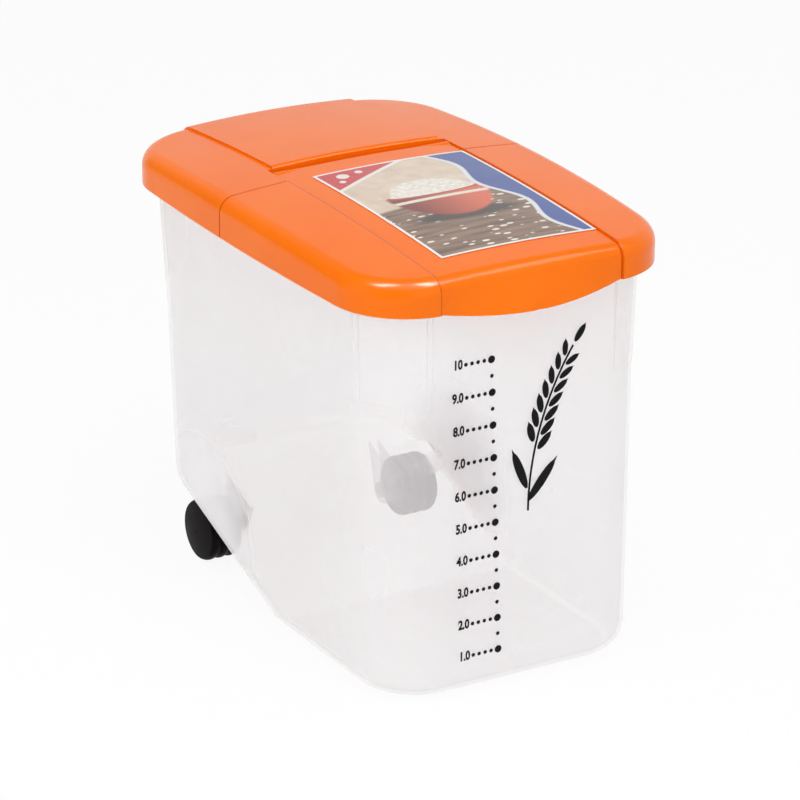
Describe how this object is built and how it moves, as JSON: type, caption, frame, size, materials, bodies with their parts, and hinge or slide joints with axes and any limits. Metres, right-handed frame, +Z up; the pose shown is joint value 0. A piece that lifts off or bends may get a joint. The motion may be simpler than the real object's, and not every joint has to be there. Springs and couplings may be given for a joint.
{
  "type": "rice storage bin",
  "caption": "Tapered translucent bin on rear wheels with a slanted rear foot and a crowned lid whose front half is a hinged flap.",
  "frame": {"origin": "on the floor under the middle of the lid, level with the underside of the base", "axes": "+Z up, -Y to the front wall with the level scale, +Y to the wheels, +X to the right when facing +Y"},
  "size_m": [0.23, 0.3518, 0.2942],
  "materials": {
    "natural_plastic": "natural translucent polypropylene, faintly milky",
    "lid_plastic": "glossy orange polypropylene",
    "label_film": "printed glossy sticker",
    "wheel_plastic": "black moulded plastic, satin",
    "pin_plastic": "natural white moulded plastic"
  },
  "bodies": {
    "bin": {"bin_body": "natural_plastic", "axle_left": "pin_plastic", "axle_right": "pin_plastic"},
    "lid": {"rear_lid": "lid_plastic"},
    "flap": {"front_flap": "lid_plastic", "top_label": "label_film"},
    "left_wheel": {"wheel_left": "wheel_plastic"},
    "right_wheel": {"wheel_right": "wheel_plastic"}
  },
  "joints": [
    {"name": "lid_lift", "type": "slide", "parent": "bin", "child": "lid", "axis": [0, 0, 1], "range_m": [0, 0.08]},
    {"name": "flap_hinge", "type": "hinge", "parent": "lid", "child": "flap", "pos_m": [0, 0.042, 0.28592], "axis": [-1, 0, 0], "range_deg": [0, 92]},
    {"name": "left_wheel_spin", "type": "hinge", "parent": "bin", "child": "left_wheel", "pos_m": [-0.0775, 0.109, 0.021], "axis": [1, 0, 0], "continuous": true},
    {"name": "right_wheel_spin", "type": "hinge", "parent": "bin", "child": "right_wheel", "pos_m": [0.0775, 0.109, 0.021], "axis": [1, 0, 0], "continuous": true}
  ]
}
